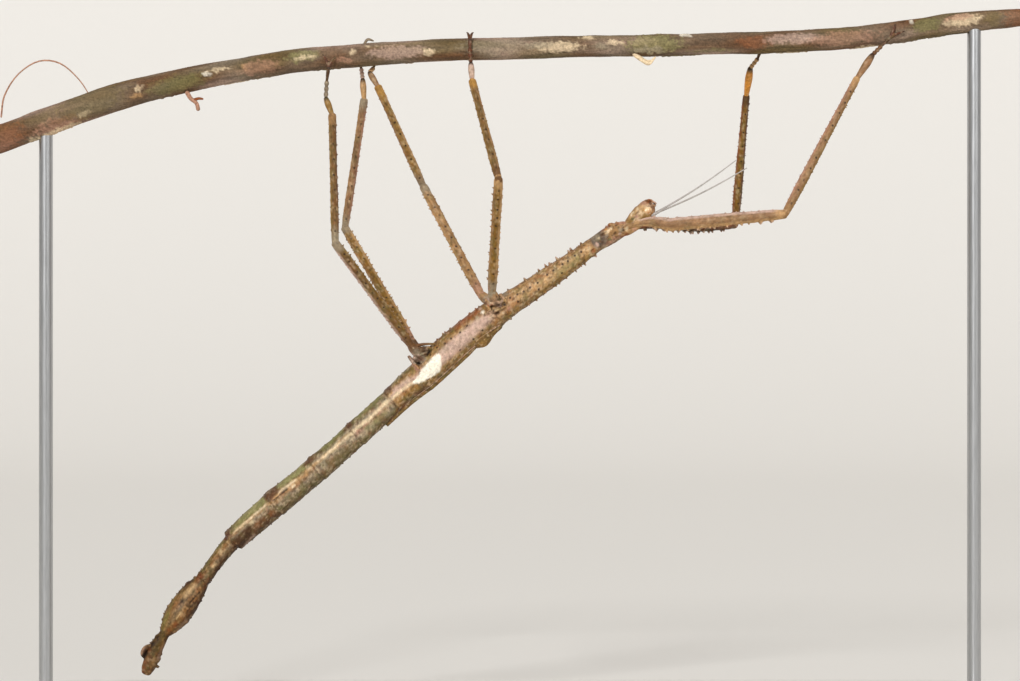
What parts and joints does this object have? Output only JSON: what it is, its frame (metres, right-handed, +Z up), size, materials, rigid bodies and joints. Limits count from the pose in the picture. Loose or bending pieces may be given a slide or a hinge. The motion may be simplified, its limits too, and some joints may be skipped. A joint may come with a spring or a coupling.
{
  "type": "stick insect on a perch",
  "caption": "Life-size stick insect that hangs by its feet under a cut length of twig, which a plain flat base holds up on two thin rods.",
  "frame": {"origin": "centre of the bounding box at its bottom, on the underside of the base", "axes": "+X along the twig towards the insect's head end, +Z up, and the insect's left side faces -Y"},
  "size_m": [0.2261, 0.09, 0.1567],
  "materials": {
    "cuticle": "tan and olive insect cuticle, mottled, half matt",
    "feet": "red-brown cuticle, slightly glossy",
    "eyes": "glossy brown compound eye",
    "antennae": "pale grey, satin",
    "wings": "leathery folded wing with a pale bluish edge",
    "bark": "grey-brown bark with pale lichen",
    "stand_paint": "off-white painted wood, matt",
    "stand_steel": "brushed steel rod"
  },
  "bodies": {
    "root": {"head": "cuticle", "pronotum": "cuticle", "mesothorax": "cuticle", "metathorax": "cuticle", "abdomen_2": "cuticle", "abdomen_3": "cuticle", "abdomen_4": "cuticle", "abdomen_5": "cuticle", "abdomen_6": "cuticle", "abdomen_7": "cuticle", "abdomen_8": "cuticle", "abdomen_9": "cuticle", "abdomen_10": "cuticle", "coxa_fore_left": "cuticle", "femur_fore_left": "cuticle", "tibia_fore_left": "cuticle", "coxa_fore_right": "cuticle", "femur_fore_right": "cuticle", "tibia_fore_right": "cuticle", "coxa_mid_left": "cuticle", "femur_mid_left": "cuticle", "tibia_mid_left": "cuticle", "coxa_mid_right": "cuticle", "femur_mid_right": "cuticle", "tibia_mid_right": "cuticle", "coxa_hind_left": "cuticle", "femur_hind_left": "cuticle", "tibia_hind_left": "cuticle", "coxa_hind_right": "cuticle", "femur_hind_right": "cuticle", "tibia_hind_right": "cuticle", "tarsus_fore_left": "feet", "tarsus_fore_right": "feet", "tarsus_mid_left": "feet", "tarsus_mid_right": "feet", "tarsus_hind_left": "feet", "tarsus_hind_right": "feet", "eye_left": "eyes", "eye_right": "eyes", "antenna_left": "antennae", "antenna_right": "antennae", "tegmen_left": "wings", "tegmen_right": "wings", "hind_wing_left": "wings", "hind_wing_right": "wings", "perch_twig": "bark", "stand_base": "stand_paint", "stand_rod_left": "stand_steel", "stand_rod_right": "stand_steel"}
  },
  "joints": []
}
